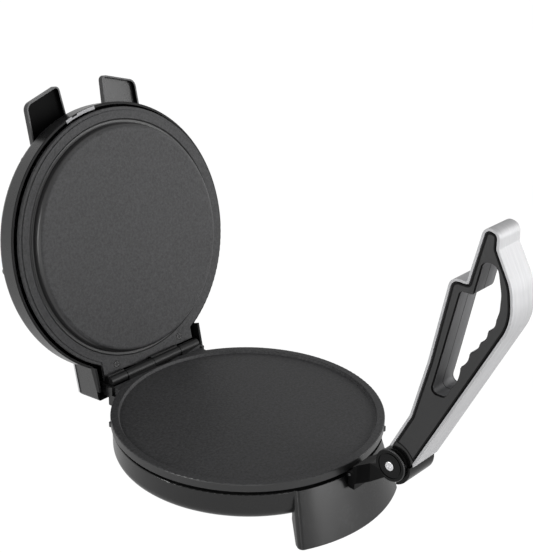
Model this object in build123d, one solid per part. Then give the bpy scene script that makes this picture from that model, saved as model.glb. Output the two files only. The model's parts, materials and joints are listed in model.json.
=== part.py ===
from build123d import *
import math
import os

# Electric roti maker, drawn standing open.
# Millimetres. X is across the appliance, -Y is the handle side, +Y is the hinge side, +Z is up.
# The pieces are drawn about the axis of the round plates, with Z zero on the table.
# Then everything moves by FRAME_Y, so the origin is on the table under the middle of the open appliance.

# ---- stance -------------------------------------------------------------------------------
FRAME_Y = 23.8            # the plates' axis stands this far behind the origin
PAD_LIFT = 0.8            # rubber pads stand this far below the plastic
RIM_TOP = 65.0            # top of the lower plate's rim above the table
GAP = 0.2                 # gap between parts that are fixed together
WALL = 2.5                # plastic wall thickness
FAR = 400.0               # cutting shapes that only have to be big enough reach this far

# ---- lower plate --------------------------------------------------------------------------
PLATE_R = 136.5           # outer radius of the lower plate
PLATE_T = 8.0             # height of its side wall
RIM_WIDTH = 9.0
RECESS_R = PLATE_R - RIM_WIDTH
RECESS_DEPTH = 3.0
PLATE_BOTTOM = RIM_TOP - PLATE_T
LUG_ANGLES = (31.5, -127.5)   # two small locating lugs, this far round from the front
LUG_R = 2.2
LUG_INSET = 0.6           # a lug's middle stands this far inside the plate's edge

# ---- lower housing ------------------------------------------------------------------------
BOWL_R = PLATE_R - 1.7
BOWL_TOP = PLATE_BOTTOM - 4.0
BOWL_DEPTH = 28.0
BOWL_BOTTOM = BOWL_TOP - BOWL_DEPTH
BOWL_ROUND = 10.0
COLLAR_R = BOWL_R - 4.3   # the recessed collar that the plate sits on

# ---- front leg ----------------------------------------------------------------------------
LEG_HALF_ANGLE = 29.0     # the leg spans this angle either side of the front
LEG_TOP_R = PLATE_R - 0.2
LEG_FLARE = 17.7
LEG_FOOT_R = LEG_TOP_R + LEG_FLARE
LEG_WALL = 3.0
LEG_EDGE_ROUND = 5.0

# ---- cord gland ---------------------------------------------------------------------------
GLAND_ANGLE = -145.5      # round from the front
GLAND_Z = BOWL_TOP - 11.5
GLAND_R = 4.6
GLAND_BORE_R = 3.3

# ---- hinge --------------------------------------------------------------------------------
HINGE_Y = PLATE_R + 0.3
HINGE_Z = RIM_TOP + 3.3
OPEN_ANGLE = 102.6        # the lid stands open this far from shut
KNUCKLE_R = 5.2
KNUCKLE_ENDS = (-63.0, -41.0, -3.0, 35.5, 63.0)
KNUCKLE_GAP = 0.35
KNUCKLE_RELIEF = 0.5      # each plate is cut back this far from the other plate's knuckles
HINGE_PIN_R = 2.0
PIN_CLEARANCE = 0.05
TONGUE_ROOT = HINGE_Y - 32.0
TONGUE_EDGE = HINGE_Y - KNUCKLE_R - 0.1
SWEEP_R = KNUCKLE_R + 6.2     # the lid's hinge webs turn inside this radius
CRADLE_R = SWEEP_R + 3.8      # the hinge cradle stays inside this radius, clear of the control box
CRADLE_DROP = 24.0        # the cradle's web reaches this far below the pin
LUG_INNER_X = KNUCKLE_ENDS[-1] + 0.5
CRADLE_HALF_WIDTH = LUG_INNER_X + 3.3

# ---- rear foot ----------------------------------------------------------------------------
FOOT_HALF_WIDTH = 44.0
FOOT_FRONT = HINGE_Y - 32.8
FOOT_BACK = HINGE_Y + 15.2
FOOT_T = 4.0
FOOT_STEP = 6.0           # the foot is this much narrower ahead of its back strip
NECK_HALF_WIDTH = 36.0
NECK_WALL = 3.0
FOOT_SCREW_X = 24.0

# ---- lid, drawn shut ----------------------------------------------------------------------
LID_RIM = RIM_TOP + 9.0   # the upper plate's rim face when the lid is shut
LID_PLATE_R = PLATE_R - 1.0
PRESS_R = RECESS_R - 9.9  # radius of the raised upper cooking face
PRESS_FACE = RIM_TOP + 0.4
PRESS_T = 5.2
PRESS_ROUND = 5.0
EDGE_STEP = 3.2           # the rim is stepped back this far in from its edge
LID_PLATE_TOP = LID_RIM + 4.0
TONGUE_SCREW_X = 45.0
TONGUE_SCREW_Y = HINGE_Y - 12.8
SHELL_R = PLATE_R + 4.3
SHELL_LIP = LID_PLATE_TOP + 1.7
SHOULDER_Z = SHELL_LIP + 19.8
SHOULDER_R = SHELL_R - 0.8
CROWN_R = SHOULDER_R - 8.8
CROWN_Z = SHOULDER_Z + 12.9
COVER_R = CROWN_R - 1.9
COVER_T = 0.8
COVER_TOP = CROWN_Z + 0.6
COVER_EDGE = 0.35         # small chamfer round the steel cover
LEDGE = 8.0               # width of the shell's ledge under the cover

# ---- lifting ears on the lid --------------------------------------------------------------
EAR_Z1 = CROWN_Z - 0.8
EAR_DEPTH = 6.6
EAR_Z0 = EAR_Z1 - EAR_DEPTH
EAR_WALL = 1.7
EAR_CORNERS = ((24.5, -20.0, 0), (28.5, 25.8, 5), (71.8, 12.8, 9), (72.0, -35.0, 0))   # x, reach past the shell, rounding

# ---- control box --------------------------------------------------------------------------
BOX_BACK = HINGE_Y + 18.7
BOX_FRONT = BOX_BACK - 59.5
BOX_FOOT_HALF = 75.0      # half width along the lower edge
BOX_HEAD_HALF = 68.9      # half width under the panel
BOX_Z0 = HINGE_Z + 3.7
BOX_STEP_X = -57.0
BOX_STEP_Z = BOX_Z0 + 5.0
BOX_ROUND = 3.0
PANEL_T = 3.0
PANEL_TOP = COVER_TOP + PANEL_T
PANEL_RIM = 5.0           # the panel's walls and the shelf under it are this wide
PANEL_ARC_R = 69.0
PANEL_ARC_Y = BOX_BACK - 58.5
KNOB_X = 1.5
KNOB_Y = PANEL_ARC_Y - 13.0
KNOB_R = 22.0
KNOB_H = 14.0
KNOB_GROOVES = 36
GROOVE_R = 0.75
SHAFT_R = 3.0
LAMP_SIZE = (17.0, 6.5)
LAMP_ROUND = 2.2
READY_LAMP = (31.0, PANEL_ARC_Y + 10.0)
POWER_LAMP = (-42.0, PANEL_ARC_Y + 10.0)

# ---- link ---------------------------------------------------------------------------------
LINK_Y = -PLATE_R - 3.7
LINK_Z = PLATE_BOTTOM - 1.0
LINK_KNUCKLE_R = 3.3
LINK_PIN_R = 1.6
LINK_HALF = 13.0
LINK_LUG_HALF = 6.0
LINK_CLEARANCE = 0.35
LINK_PLATE_T = 2.8
LINK_PLATE_Y = LINK_Y - 3.8   # inner face of the plate in front of the housing
ARM_SIDE = ((-4.2, 10.5, 1), (-5.8, 11.4, 1), (-28.8, 28.9), (-39.8, 34), (-45.8, 22), (-35.8, 14.5), (-5.8, -8.1))

# ---- barrel between the link's cheeks ------------------------------------------------------
BARREL_Y = LINK_Y - 50.8
BARREL_Z = LINK_Z + 36.0
BARREL_R = 15.1
CAP_R = 15.7
CAP_HALF = 22.0           # half length over the two end caps
CAP_T = 3.4
CAP_GROOVE = (11.3, 12.5, 0.7)   # inner radius, outer radius and depth of the ring cut in each cap
BARREL_HALF = CAP_HALF - CAP_T - LINK_CLEARANCE
BOLT_R = 3.6
BOLT_HEAD_R = 4.5
BOLT_HEAD_T = 1.4

# ---- handle, its outlines are given from the barrel's axis as (y, z, rounding) --------------
BAND_HALF = 18.0
BAND_T = 2.2
CORE_HALF = 15.4
CHEEK_T = 2.1
CHEEK_GROOVE = 0.7        # half of the groove between band and cheek
HALF_GAP = 0.1
TAPER_FROM = 18.0         # above the barrel
TAPER_TO = 238.0
TAPER = 3.0               # the handle is this much thinner each side at its nose
ROOT_R = 23.5             # the cheeks end this far from the barrel's axis
BAND_END_R = (18.3, 22.6)     # and the band's inner and outer ends this far
LIP_R = 19.2
HANDLE_LINE = (
    (-13.2, -5),
    (-100, 170, 45),
    (-95.5, 199, 40),
    (-80.2, 226.2, 4),
    (-79.9, 238.2, 4.4),
    (-70.8, 240, 4.4),
    (-59.8, 189.9, 3.5),
    (-44.6, 190, 6.5),
    (-30.4, 111, 80),
    (-16.9, 54.5, 14),
    (9.5, 0.7),
)
CUSPS = ((-52, 95.5), (-58.4, 116.8), (-65.7, 132.1), (-74.1, 144.2), (-80.2, 156.6), (-86.5, 168.5))
SCALLOP_DEPTH = 1.9
GRIP_UPPER = ((-88.6, 177, 10), (-88.6, 191, 28), (-83, 213.5, 8), (-70, 213.2, 6), (-64, 182.6, 3), (-51.8, 182.3, 3.5))
GRIP_LOWER = ((-37.7, 110.7, 60), (-32.2, 83.9, 5), (-46.5, 84.2, 5))

# ---- heaters and screws --------------------------------------------------------------------
ELEMENT_RING_R = 86.0
ELEMENT_R = 3.4
ELEMENT_LEADS = (75, 105)     # the two leads stand at these angles round from +X
ELEMENT_LEAD = 14.0
SHIELD_T = 0.6
LOWER_SHIELD_Z = BOWL_TOP - 13.0
LOWER_SHIELD_R = COLLAR_R - 14.5
UPPER_SHIELD_Z = PRESS_FACE + 23.4
UPPER_SHIELD_R = PRESS_R - 13.6
SCREW_R = 1.8
SCREW_HEAD_R = 3.4
BOSS_R = 5.5
HOUSING_SCREW_R = COLLAR_R - 26.5
HOUSING_SCREW_ANGLES = (45, 135, -135, -45)
VENT_RING_R = 62.0


# ---- helpers ------------------------------------------------------------------------------
def outline(*corners):
    """Closed flat face through corners given as (a, b) or (a, b, rounding)."""
    points = [corner[:2] for corner in corners]
    rounds = [corner[2] if len(corner) > 2 else 0 for corner in corners]
    return make_face(FilletPolyline(*points, radius=rounds, close=True))


def turned(*corners, arc=360):
    """Solid turned about the vertical axis from corners given as (radius, height)."""
    return revolve(Plane.XZ * outline(*corners), Axis.Z, revolution_arc=arc)


def side_slab(face, x0, x1):
    """Solid between x0 and x1 with a side outline given as (y, z)."""
    return extrude(Plane.YZ.offset(x0) * face, x1 - x0)


def flat_slab(face, z0, z1):
    """Solid between two heights with a plan outline given as (x, y)."""
    return extrude(Plane.XY.offset(z0) * face, z1 - z0)


def block(x0, x1, y0, y1, z0, z1):
    centre = Pos((x0 + x1) / 2, (y0 + y1) / 2, (z0 + z1) / 2)
    return centre * Box(x1 - x0, y1 - y0, z1 - z0)


def rod(radius, x0, x1, y, z):
    """Round bar along X."""
    return Pos((x0 + x1) / 2, y, z) * Rot(0, 90, 0) * Cylinder(radius, x1 - x0)


def post(radius, x, y, z0, z1):
    """Upright round bar."""
    return Pos(x, y, (z0 + z1) / 2) * Cylinder(radius, z1 - z0)


def disc(radius, z0, z1):
    return post(radius, 0, 0, z0, z1)


def shifted(corners, y, z):
    """Corners given from the point (y, z)."""
    return [(corner[0] + y, corner[1] + z, *corner[2:]) for corner in corners]


def opened(shape):
    """Swings a lid piece from its shut place to the open place."""
    return shape.rotate(Axis((0, HINGE_Y, HINGE_Z), (1, 0, 0)), -OPEN_ANGLE)


def screw(x, y, head_z, tip_z):
    """Pan-head screw: the head is at head_z and the tip is at tip_z."""
    way = 1 if tip_z > head_z else -1
    head = post(SCREW_HEAD_R, x, y, *sorted((head_z, head_z + way * 2.0)))
    shank = post(SCREW_R - PIN_CLEARANCE, x, y, *sorted((head_z + way * 2.0, tip_z)))
    slot = block(x - 2.4, x + 2.4, y - 0.4, y + 0.4, *sorted((head_z, head_z + way * 0.8)))
    cross = block(x - 0.4, x + 0.4, y - 2.4, y + 2.4, *sorted((head_z, head_z + way * 0.8)))
    return head + shank - slot - cross


def around(radius, angles):
    """Plan positions at the given angles round from the front."""
    return [(radius * math.sin(math.radians(a)), -radius * math.cos(math.radians(a))) for a in angles]


def write(name, *shapes):
    solids = [solid.translate((0, FRAME_Y, 0)) for shape in shapes for solid in shape.solids()]
    export_step(Compound(children=solids) if len(solids) > 1 else solids[0], f"parts/{name}.step")


# ---- lower plate --------------------------------------------------------------------------
def lower_plate():
    plate = turned(
        (0, PLATE_BOTTOM),
        (PLATE_R, PLATE_BOTTOM, 0.6),
        (PLATE_R, RIM_TOP, 0.9),
        (RECESS_R + 1.2, RIM_TOP, 0.6),
        (RECESS_R, RIM_TOP - RECESS_DEPTH, 0.8),
        (0, RIM_TOP - RECESS_DEPTH),
    )
    last = KNUCKLE_ENDS[-1]
    tongue = block(-last, last, TONGUE_ROOT, TONGUE_EDGE - 0.4, PLATE_BOTTOM, RIM_TOP - 0.6)
    plate += tongue - disc(PLATE_R - 1, 0, FAR)
    for x0, x1 in (KNUCKLE_ENDS[1:3], KNUCKLE_ENDS[3:5]):
        a = x0 + KNUCKLE_GAP
        b = x1 - KNUCKLE_GAP
        plate += rod(KNUCKLE_R, a, b, HINGE_Y, HINGE_Z)
        plate += block(a, b, TONGUE_EDGE - 1, HINGE_Y + KNUCKLE_R, PLATE_BOTTOM + 3.5, HINGE_Z)
    for x, y in around(PLATE_R - LUG_INSET, LUG_ANGLES):
        plate += post(LUG_R, x, y, PLATE_BOTTOM, PLATE_BOTTOM + 4.5)
    for x0, x1 in (KNUCKLE_ENDS[0:2], KNUCKLE_ENDS[2:4]):
        plate -= rod(KNUCKLE_R + KNUCKLE_RELIEF, x0 - KNUCKLE_GAP, x1 + KNUCKLE_GAP, HINGE_Y, HINGE_Z)
    plate -= rod(HINGE_PIN_R + PIN_CLEARANCE, -FAR, FAR, HINGE_Y, HINGE_Z)
    for x, y in around(HOUSING_SCREW_R, HOUSING_SCREW_ANGLES):
        plate -= post(SCREW_R, x, y, PLATE_BOTTOM - 1, PLATE_BOTTOM + 3.2)
    return plate


# ---- lower housing with its front leg and hinge cradle ------------------------------------
def front_leg():
    top_inner = LEG_TOP_R - 2 * LEG_WALL
    outer = turned(
        (top_inner, BOWL_TOP),
        (LEG_TOP_R, BOWL_TOP),
        (LEG_FOOT_R, PAD_LIFT),
        (LEG_FOOT_R - 10, PAD_LIFT),
        (top_inner, BOWL_BOTTOM),
        arc=2 * LEG_HALF_ANGLE,
    ).rotate(Axis.Z, -90 - LEG_HALF_ANGLE)
    ends = [edge for edge in outer.edges() if edge.geom_type == GeomType.LINE]
    reach = max(math.hypot(edge.center().X, edge.center().Y) for edge in ends)
    slanted = [edge for edge in ends if edge.length > (BOWL_TOP - PAD_LIFT) * 0.9]
    outer_edges = [edge for edge in slanted if math.hypot(edge.center().X, edge.center().Y) > (LEG_TOP_R + reach) / 2 - 5]
    outer = fillet(outer_edges, LEG_EDGE_ROUND)
    hollow_angle = LEG_HALF_ANGLE - math.degrees(LEG_WALL / LEG_TOP_R)
    slope = LEG_FLARE / (BOWL_TOP - PAD_LIFT)
    hollow_top = BOWL_TOP - LEG_WALL
    hollow = turned(
        (top_inner - 6, hollow_top),
        (LEG_TOP_R - LEG_WALL + slope * LEG_WALL, hollow_top),
        (LEG_FOOT_R - LEG_WALL + slope * 2, PAD_LIFT - 2),
        (LEG_FOOT_R - 20, PAD_LIFT - 2),
        (top_inner - 6, BOWL_BOTTOM),
        arc=2 * hollow_angle,
    ).rotate(Axis.Z, -90 - hollow_angle)
    return outer - hollow


def hinge_cradle():
    """Web and two lugs that carry the hinge behind the bowl."""
    seat = PLATE_BOTTOM - GAP
    front = HINGE_Y - 18.8
    back = BOWL_R - 0.6
    low = HINGE_Z - CRADLE_DROP
    cradle = side_slab(
        outline((front, low), (back, low), (back, seat), (front, seat)), -CRADLE_HALF_WIDTH, CRADLE_HALF_WIDTH
    )
    wheel = rod(CRADLE_R, -CRADLE_HALF_WIDTH, CRADLE_HALF_WIDTH, HINGE_Y, HINGE_Z)
    cradle += wheel - block(-FAR, FAR, 0, FAR, seat, FAR)
    cradle -= rod(SWEEP_R, -LUG_INNER_X, LUG_INNER_X, HINGE_Y, HINGE_Z)
    for side in (-1, 1):
        x0, x1 = sorted((side * LUG_INNER_X, side * CRADLE_HALF_WIDTH))
        lug = block(x0, x1, TONGUE_EDGE - 3, FAR, seat - 5, HINGE_Z - 2.3)
        cradle += lug & rod(CRADLE_R - 3, x0, x1, HINGE_Y - 1, HINGE_Z - 1)
    return cradle - disc(COLLAR_R - WALL - 1, 0, FAR) - disc(PLATE_R + 0.3, seat, FAR)


def lower_housing():
    seat = PLATE_BOTTOM - GAP
    bowl = turned(
        (0, BOWL_BOTTOM),
        (BOWL_R, BOWL_BOTTOM, BOWL_ROUND),
        (BOWL_R, BOWL_TOP, 1.2),
        (COLLAR_R, BOWL_TOP),
        (COLLAR_R, seat),
        (COLLAR_R - WALL, seat),
        (COLLAR_R - WALL, BOWL_TOP - WALL),
        (BOWL_R - WALL, BOWL_TOP - WALL),
        (BOWL_R - WALL, BOWL_BOTTOM + WALL, BOWL_ROUND - WALL),
        (0, BOWL_BOTTOM + WALL),
    )
    leg = front_leg() - disc(BOWL_R - WALL, 0, BOWL_TOP)
    root = -COLLAR_R + WALL - 0.5
    link_lug = side_slab(
        outline((root, BOWL_TOP - 4), (LINK_Y, LINK_Z - LINK_KNUCKLE_R), (LINK_Y, LINK_Z), (-COLLAR_R - WALL, seat), (root, seat)),
        -LINK_LUG_HALF,
        LINK_LUG_HALF,
    )
    link_lug += rod(LINK_KNUCKLE_R, -LINK_LUG_HALF, LINK_LUG_HALF, LINK_Y, LINK_Z)
    housing = bowl + leg + hinge_cradle() + link_lug
    housing -= rod(LINK_PIN_R + PIN_CLEARANCE, -LINK_HALF, LINK_HALF, LINK_Y, LINK_Z)
    for x, y in around(HOUSING_SCREW_R, HOUSING_SCREW_ANGLES):
        boss = post(BOSS_R, x, y, BOWL_BOTTOM + 1, seat)
        boss -= post(SCREW_R, x, y, BOWL_BOTTOM, PLATE_BOTTOM)
        housing += boss
        housing -= post(SCREW_R, x, y, BOWL_BOTTOM - 1, BOWL_BOTTOM + 10)
        housing -= post(SCREW_HEAD_R + 0.4, x, y, BOWL_BOTTOM - 1, BOWL_BOTTOM + 2.6)
    for x in (-FOOT_SCREW_X, FOOT_SCREW_X):
        housing -= post(SCREW_R, x, FOOT_FRONT + 6, BOWL_BOTTOM - 1, BOWL_BOTTOM + WALL + 1)
    for angle in range(0, 360, 30):
        x, y = around(VENT_RING_R, (angle,))[0]
        housing -= Pos(x, y, BOWL_BOTTOM) * Rot(0, 0, angle) * Box(3, 24, 10)
    return housing - gland_place() * Cylinder(GLAND_R + PIN_CLEARANCE, 14)


def housing_screws():
    return [screw(x, y, BOWL_BOTTOM + 0.4, PLATE_BOTTOM + 3) for x, y in around(HOUSING_SCREW_R, HOUSING_SCREW_ANGLES)]


# ---- rear foot ----------------------------------------------------------------------------
def rear_foot():
    plan = outline(
        (-FOOT_HALF_WIDTH + FOOT_STEP, FOOT_FRONT, 5),
        (FOOT_HALF_WIDTH - FOOT_STEP, FOOT_FRONT, 5),
        (FOOT_HALF_WIDTH - FOOT_STEP, FOOT_BACK - 20, 2),
        (FOOT_HALF_WIDTH, FOOT_BACK - 20, 3),
        (FOOT_HALF_WIDTH, FOOT_BACK, 9),
        (-FOOT_HALF_WIDTH, FOOT_BACK, 9),
        (-FOOT_HALF_WIDTH, FOOT_BACK - 20, 3),
        (-FOOT_HALF_WIDTH + FOOT_STEP, FOOT_BACK - 20, 2),
    )
    foot = flat_slab(plan, PAD_LIFT, PAD_LIFT + FOOT_T)
    top = BOWL_BOTTOM - GAP
    neck = side_slab(
        outline((FOOT_FRONT - 6, top), (FOOT_FRONT + 19, top), (FOOT_FRONT + 32, PAD_LIFT + 1), (FOOT_FRONT + 1, PAD_LIFT + 1)),
        -NECK_HALF_WIDTH,
        NECK_HALF_WIDTH,
    )
    pocket = side_slab(
        outline((FOOT_FRONT - 3, top - NECK_WALL), (FOOT_FRONT + 16.5, top - NECK_WALL), (FOOT_FRONT + 28, -1),
                (FOOT_FRONT + 5, -1)),
        -NECK_HALF_WIDTH + NECK_WALL,
        NECK_HALF_WIDTH - NECK_WALL,
    )
    foot = foot + neck - pocket
    for x in (-FOOT_SCREW_X, FOOT_SCREW_X):
        foot -= post(SCREW_R, x, FOOT_FRONT + 6, top - 5, top + 1)
    return foot


def foot_screws():
    top = BOWL_BOTTOM - GAP
    return [screw(x, FOOT_FRONT + 6, top - 5.4, BOWL_BOTTOM + WALL + 0.5)
            for x in (-FOOT_SCREW_X, FOOT_SCREW_X)]


def rear_pads():
    inset = FOOT_HALF_WIDTH - 12
    return [post(6, x, FOOT_BACK - 11, 0, PAD_LIFT - 0.02) for x in (-inset, inset)]


def front_pads():
    pads = []
    for angle in (-LEG_HALF_ANGLE + 4.5, LEG_HALF_ANGLE - 4.5):
        x, y = around(LEG_FOOT_R - 7.9, (angle,))[0]
        pads.append(Pos(x, y, 3.5) * Rot(0, 0, angle) * Box(12, 5, 7))
    return pads


# ---- heating parts ------------------------------------------------------------------------
def lead_places():
    """Plan positions of the two heater leads."""
    return [(ELEMENT_RING_R * math.cos(math.radians(a)), ELEMENT_RING_R * math.sin(math.radians(a))) for a in ELEMENT_LEADS]


def element(z, leads_up):
    """Tubular heater: an almost closed ring with two short leads."""
    open_arc = ELEMENT_LEADS[1] - ELEMENT_LEADS[0]
    section = Plane.XZ * (Pos(ELEMENT_RING_R, z) * Circle(ELEMENT_R))
    ring = revolve(section, Axis.Z, revolution_arc=360 - open_arc).rotate(Axis.Z, ELEMENT_LEADS[1])
    z0, z1 = sorted((z, z + (ELEMENT_LEAD if leads_up else -ELEMENT_LEAD)))
    for x, y in lead_places():
        ring += post(ELEMENT_R - 0.6, x, y, z0, z1)
    return ring


def reflector(z, radius, lift):
    """Thin heat shield with a turned edge."""
    return turned(
        (0, z),
        (radius, z),
        (radius + 2, z + lift),
        (radius + 1.2, z + lift),
        (radius - 0.6, z + SHIELD_T),
        (0, z + SHIELD_T),
    )


def lower_reflector():
    shield = reflector(LOWER_SHIELD_Z, LOWER_SHIELD_R, 10)
    for x, y in around(HOUSING_SCREW_R, HOUSING_SCREW_ANGLES):
        shield -= post(BOSS_R + GAP, x, y, 0, FAR)
    for x, y in lead_places():
        shield -= post(ELEMENT_R + 1.1, x, y, 0, FAR)
    return shield


def terminal_block():
    y = lead_places()[0][1]
    body = block(-34, 34, y - 9, y + 9, BOWL_BOTTOM + WALL + GAP, LOWER_SHIELD_Z - 2)
    for x, y in lead_places():
        body -= post(ELEMENT_R, x, y, 0, FAR)
    return body


# ---- upper plate --------------------------------------------------------------------------
def upper_plate():
    trough = LID_RIM + 1.4
    plate = turned(
        (0, PRESS_FACE),
        (PRESS_R, PRESS_FACE, PRESS_ROUND),
        (PRESS_R + 1.6, trough, 1.0),
        (PRESS_R + 4.6, trough, 0.8),
        (PRESS_R + 6.0, LID_RIM + 0.2, 0.5),
        (LID_PLATE_R - EDGE_STEP, LID_RIM, 0.3),
        (LID_PLATE_R - EDGE_STEP - 0.4, LID_RIM + 1.1, 0.2),
        (LID_PLATE_R, LID_RIM + 0.9, 0.6),
        (LID_PLATE_R, LID_PLATE_TOP),
        (PRESS_R + 6, LID_PLATE_TOP),
        (PRESS_R - 4, PRESS_FACE + PRESS_T),
        (0, PRESS_FACE + PRESS_T),
    )
    last = KNUCKLE_ENDS[-1]
    tongue = block(-last, last, TONGUE_ROOT, TONGUE_EDGE, LID_RIM, LID_PLATE_TOP)
    plate += tongue - disc(PRESS_R + 10, 0, FAR)
    for x0, x1 in (KNUCKLE_ENDS[0:2], KNUCKLE_ENDS[2:4]):
        a = x0 + KNUCKLE_GAP
        b = x1 - KNUCKLE_GAP
        plate += rod(KNUCKLE_R, a, b, HINGE_Y, HINGE_Z)
        plate += block(a, b, TONGUE_EDGE - 1, HINGE_Y + KNUCKLE_R - 0.4, HINGE_Z, LID_PLATE_TOP)
    for x0, x1 in (KNUCKLE_ENDS[1:3], KNUCKLE_ENDS[3:5]):
        plate -= rod(KNUCKLE_R + KNUCKLE_RELIEF, x0 - KNUCKLE_GAP, x1 + KNUCKLE_GAP, HINGE_Y, HINGE_Z)
    plate -= rod(HINGE_PIN_R + PIN_CLEARANCE, -FAR, FAR, HINGE_Y, HINGE_Z)
    for x in (-TONGUE_SCREW_X, TONGUE_SCREW_X):
        plate -= post(SCREW_R, x, TONGUE_SCREW_Y, LID_RIM - 1, LID_PLATE_TOP + 1)
        plate -= post(SCREW_HEAD_R + 0.5, x, TONGUE_SCREW_Y, LID_RIM - 1, LID_RIM + 1.9)
    return plate


def tongue_screws():
    return [screw(x, TONGUE_SCREW_Y, LID_RIM - 0.1, LID_PLATE_TOP + 9) for x in (-TONGUE_SCREW_X, TONGUE_SCREW_X)]


# ---- lid shell with ears and control box --------------------------------------------------
def panel_face(inset=0.0):
    """Plan of the control panel: straight sides, flat back, round front."""
    half = BOX_HEAD_HALF - inset
    radius = PANEL_ARC_R - inset
    reach = radius * math.sin(math.acos(min(half / radius, 1)))
    side_y = PANEL_ARC_Y - reach
    back = BOX_BACK - inset
    front = ThreePointArc((-half, side_y), (0, PANEL_ARC_Y - radius), (half, side_y))
    rest = FilletPolyline((half, side_y), (half, back), (-half, back), (-half, side_y), radius=(3, 3))
    return make_face(front + rest)


def box_solid(inset, z0):
    """Control box body: the side walls lean in towards the panel."""
    lean = (BOX_FOOT_HALF - BOX_HEAD_HALF) / (COVER_TOP - BOX_Z0)
    low = BOX_FOOT_HALF - inset + lean * (BOX_Z0 - z0)
    head = BOX_HEAD_HALF - inset
    face = outline((-low, z0), (low, z0), (head, COVER_TOP), (-head, COVER_TOP))
    return extrude(Plane.XZ.offset(-(BOX_BACK - inset)) * face, BOX_BACK - BOX_FRONT)


def ear(side):
    face = outline(*[(side * x, -SHELL_R - reach, rounding) for x, reach, rounding in EAR_CORNERS])
    inner = offset(face, -EAR_WALL)
    tab = flat_slab(face, EAR_Z0, EAR_Z1)
    crown = [edge for edge in tab.edges().group_by(Axis.Z)[-1] if edge.center().Y < -SHELL_R + 10]
    tab = fillet(crown, 1.2)
    return tab - flat_slab(inner, EAR_Z0 - 1, EAR_Z1 - EAR_WALL)


def shell_envelope():
    return turned((0, SHELL_LIP - 5), (SHELL_R, SHELL_LIP - 5), (SHELL_R, SHELL_LIP), (SHOULDER_R, SHOULDER_Z, 6),
                  (CROWN_R, CROWN_Z, 1.5), (0, CROWN_Z))


def lid_ring():
    """Round wall of the lid with the ledge that the steel cover lies on."""
    ledge_top = COVER_TOP - COVER_T - GAP
    seat_r = COVER_R + 0.4
    ring = turned(
        (SHELL_R - WALL, SHELL_LIP),
        (SHELL_R, SHELL_LIP, 0.8),
        (SHOULDER_R, SHOULDER_Z, 6),
        (CROWN_R, CROWN_Z, 1.5),
        (seat_r, CROWN_Z),
        (seat_r, ledge_top),
        (COVER_R - LEDGE, ledge_top),
        (COVER_R - LEDGE, CROWN_Z - 3.6),
        (COVER_R - 1, CROWN_Z - 3.6),
        (SHOULDER_R - WALL, SHOULDER_Z - 1),
    )
    for x, y in around(PRESS_R + 12.5, (40, 90, 270, 320)):
        ring += post(4.5, x, y, LID_PLATE_TOP + GAP, CROWN_Z - 3)
    return ring


def box_walls():
    """Walls of the control box outside the round shell."""
    box = box_solid(0, BOX_Z0)
    rear_edges = [edge for edge in box.edges() if edge.center().Y > BOX_BACK - 1 and abs(edge.center().X) > BOX_HEAD_HALF - 5]
    walls = fillet(rear_edges, BOX_ROUND) - box_solid(WALL, BOX_Z0 - 1)
    walls -= shell_envelope() - block(-FAR, FAR, BOX_FRONT, FAR, BOX_Z0, COVER_TOP + 1)
    walls -= disc(SHELL_R - 1, 0, CROWN_Z)
    walls -= block(-FAR, BOX_STEP_X, HINGE_Y + 8, FAR, 0, BOX_STEP_Z)
    return walls - disc(COVER_R + 0.4, COVER_TOP - COVER_T - GAP, FAR)


def lid_shell():
    ears = (ear(-1) + ear(1)) - shell_envelope()
    shell = lid_ring() - box_solid(WALL, BOX_Z0 - 1) + ears + box_walls()
    for x in (-TONGUE_SCREW_X, TONGUE_SCREW_X):
        boss = post(5, x, TONGUE_SCREW_Y, LID_PLATE_TOP + GAP, CROWN_Z - 1)
        shell += boss - post(SCREW_R, x, TONGUE_SCREW_Y, 0, LID_PLATE_TOP + 10)
    top = COVER_TOP - COVER_T - GAP
    shelf = flat_slab(panel_face(WALL), CROWN_Z - 2.5, top)
    shelf -= flat_slab(panel_face(WALL + 6), CROWN_Z - 3, COVER_TOP)
    half = BOX_HEAD_HALF - 1
    return shell + shelf + block(-half, half, TONGUE_SCREW_Y - WALL, TONGUE_SCREW_Y + WALL, CROWN_Z - 2.5, top)


def gland_place():
    """Place on the bowl's wall behind the hinge, with Z pointing straight out of the wall."""
    x, y = around(BOWL_R, (GLAND_ANGLE,))[0]
    return Pos(x, y, GLAND_Z) * Rot(0, 0, GLAND_ANGLE - 90) * Rot(0, 90, 0)


def cord_gland():
    flange = Pos(0, 0, 0.95) * Cylinder(GLAND_R + 1.2, 1.3)
    sleeve = Pos(0, 0, -3.7) * Cylinder(GLAND_R, 10.6)
    return gland_place() * (flange + sleeve - Cylinder(GLAND_BORE_R, FAR))


def steel_cover():
    cover = turned(
        (0, COVER_TOP - COVER_T),
        (COVER_R, COVER_TOP - COVER_T),
        (COVER_R, COVER_TOP - COVER_EDGE),
        (COVER_R - COVER_EDGE, COVER_TOP),
        (0, COVER_TOP),
    )
    cover -= flat_slab(panel_face(PANEL_RIM), COVER_TOP - 5, COVER_TOP + 5)
    return cover


def control_panel():
    panel = flat_slab(panel_face(0.3), COVER_TOP + 0.05, PANEL_TOP)
    rim = [edge for edge in panel.edges().group_by(Axis.Z)[-1] if edge.center().Y < BOX_BACK - 4]
    panel = fillet(rim, 1.3)
    panel -= flat_slab(panel_face(PANEL_RIM + 0.3), COVER_TOP - 1, PANEL_TOP - 2)
    panel -= post(SHAFT_R + 0.3, KNOB_X, KNOB_Y, COVER_TOP, PANEL_TOP + 1)
    for x, y in (READY_LAMP, POWER_LAMP):
        window = RectangleRounded(LAMP_SIZE[0] + GAP, LAMP_SIZE[1] + GAP, LAMP_ROUND + GAP / 2)
        panel -= flat_slab(Pos(x, y) * window, COVER_TOP - 1, PANEL_TOP + 1)
    return panel


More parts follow.
